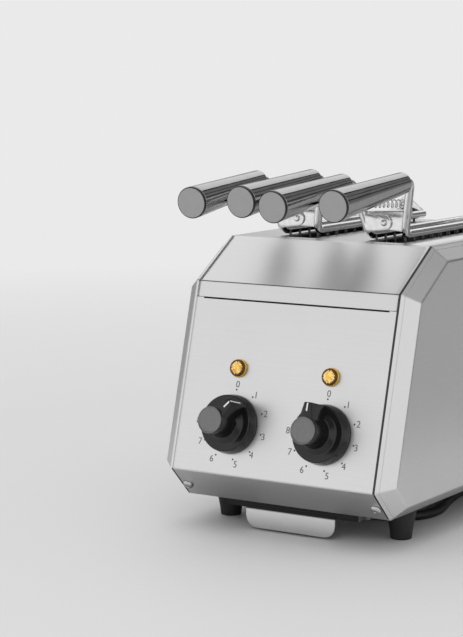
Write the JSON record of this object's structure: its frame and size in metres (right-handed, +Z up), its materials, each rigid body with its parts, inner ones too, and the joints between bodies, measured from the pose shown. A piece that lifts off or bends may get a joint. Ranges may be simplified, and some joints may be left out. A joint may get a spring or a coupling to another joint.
{
  "type": "toaster with bread tongs",
  "caption": "Slope-sided steel toaster with long deck slots, dial timers, pilot lamps, a crumb tray and lift-out sprung bread tongs",
  "frame": {"origin": "on the surface it stands on, under the middle of the box of the toaster with its tongs, without the cord", "axes": "+Z up, the control panel faces -Y, +X is to the right of someone who faces the controls"},
  "size_m": [0.288, 0.5136, 0.2658],
  "materials": {
    "casing_steel": "satin stainless steel",
    "base_steel": "plain steel",
    "core_steel": "plain steel",
    "tray_steel": "satin stainless steel",
    "chrome_rod": "bright chrome plate",
    "handle_chrome": "dark chrome, polished along its length",
    "handle_cap": "flat grey",
    "knob_black": "glossy black",
    "timer_case": "cream moulding",
    "amber_lens": "amber, faceted",
    "lamp_case": "black moulding",
    "screw_steel": "bright steel",
    "foot_rubber": "black rubber",
    "heater_sheath": "heat-darkened sheath",
    "cord_rubber": "black rubber"
  },
  "bodies": {
    "root": {"front_panel": "casing_steel", "rear_panel": "casing_steel", "top_cover": "casing_steel", "side_panel_left": "casing_steel", "side_panel_right": "casing_steel", "base_plate": "base_steel", "foot_front_left": "foot_rubber", "foot_front_right": "foot_rubber", "foot_rear_left": "foot_rubber", "foot_rear_right": "foot_rubber", "tray_runner_left": "core_steel", "tray_runner_right": "core_steel", "core_front_wall": "core_steel", "core_rear_wall": "core_steel", "heater_left_lower": "heater_sheath", "heater_left_upper": "heater_sheath", "heater_middle_lower": "heater_sheath", "heater_middle_upper": "heater_sheath", "heater_right_lower": "heater_sheath", "heater_right_upper": "heater_sheath", "heat_shield_left": "core_steel", "tong_rest_left": "core_steel", "timer_left": "timer_case", "lamp_lens_left": "amber_lens", "lamp_body_left": "lamp_case", "chamfer_screw_left": "screw_steel", "heat_shield_right": "core_steel", "tong_rest_right": "core_steel", "timer_right": "timer_case", "lamp_lens_right": "amber_lens", "lamp_body_right": "lamp_case", "chamfer_screw_right": "screw_steel", "strain_relief": "cord_rubber", "mains_cord": "cord_rubber", "cord_coil": "cord_rubber", "mains_plug": "cord_rubber"},
    "knob_left": {"knob_left": "knob_black", "spindle_left": "screw_steel"},
    "knob_right": {"knob_right": "knob_black", "spindle_right": "screw_steel"},
    "crumb_tray": {"crumb_tray": "tray_steel"},
    "tong_left": {"tong_left_fixed_jaw": "chrome_rod", "tong_left_fixed_handle": "handle_chrome", "tong_left_fixed_cap": "handle_cap", "tong_left_front_rivet": "chrome_rod", "tong_left_rear_rivet": "chrome_rod", "tong_left_spring": "chrome_rod"},
    "tong_left_squeezed": {"tong_left_moving_jaw": "chrome_rod", "tong_left_moving_handle": "handle_chrome", "tong_left_moving_cap": "handle_cap"},
    "tong_right": {"tong_right_fixed_jaw": "chrome_rod", "tong_right_fixed_handle": "handle_chrome", "tong_right_fixed_cap": "handle_cap", "tong_right_front_rivet": "chrome_rod", "tong_right_rear_rivet": "chrome_rod", "tong_right_spring": "chrome_rod"},
    "tong_right_squeezed": {"tong_right_moving_jaw": "chrome_rod", "tong_right_moving_handle": "handle_chrome", "tong_right_moving_cap": "handle_cap"}
  },
  "joints": [
    {"name": "knob_left_turn", "type": "hinge", "parent": "root", "child": "knob_left", "pos_m": [-0.039, -0.16894, 0.0818], "axis": [0, 0.9653, -0.261], "range_deg": [-42, 233]},
    {"name": "knob_right_turn", "type": "hinge", "parent": "root", "child": "knob_right", "pos_m": [0.039, -0.16894, 0.0818], "axis": [0, 0.9653, -0.261], "range_deg": [0, 275]},
    {"name": "crumb_tray_slide", "type": "slide", "parent": "root", "child": "crumb_tray", "axis": [0, -1, 0], "range_m": [0, 0.32]},
    {"name": "tong_left_lift", "type": "slide", "parent": "root", "child": "tong_left", "axis": [-0.0523, 0, 0.9986], "range_m": [0, 0.12]},
    {"name": "tong_left_squeeze", "type": "hinge", "parent": "tong_left", "child": "tong_left_squeezed", "pos_m": [-0.0381, -0.07651, 0.2269], "axis": [0, 1, 0], "range_deg": [0, 6], "stiffness_Nm_per_rad": 1, "springref_deg": -11.46, "deforming": ["tong_left_spring"]},
    {"name": "tong_right_lift", "type": "slide", "parent": "root", "child": "tong_right", "axis": [-0.0523, 0, 0.9986], "range_m": [0, 0.12]},
    {"name": "tong_right_squeeze", "type": "hinge", "parent": "tong_right", "child": "tong_right_squeezed", "pos_m": [0.0371, -0.07651, 0.2269], "axis": [0, 1, 0], "range_deg": [0, 6], "stiffness_Nm_per_rad": 1, "springref_deg": -11.46, "deforming": ["tong_right_spring"]}
  ]
}
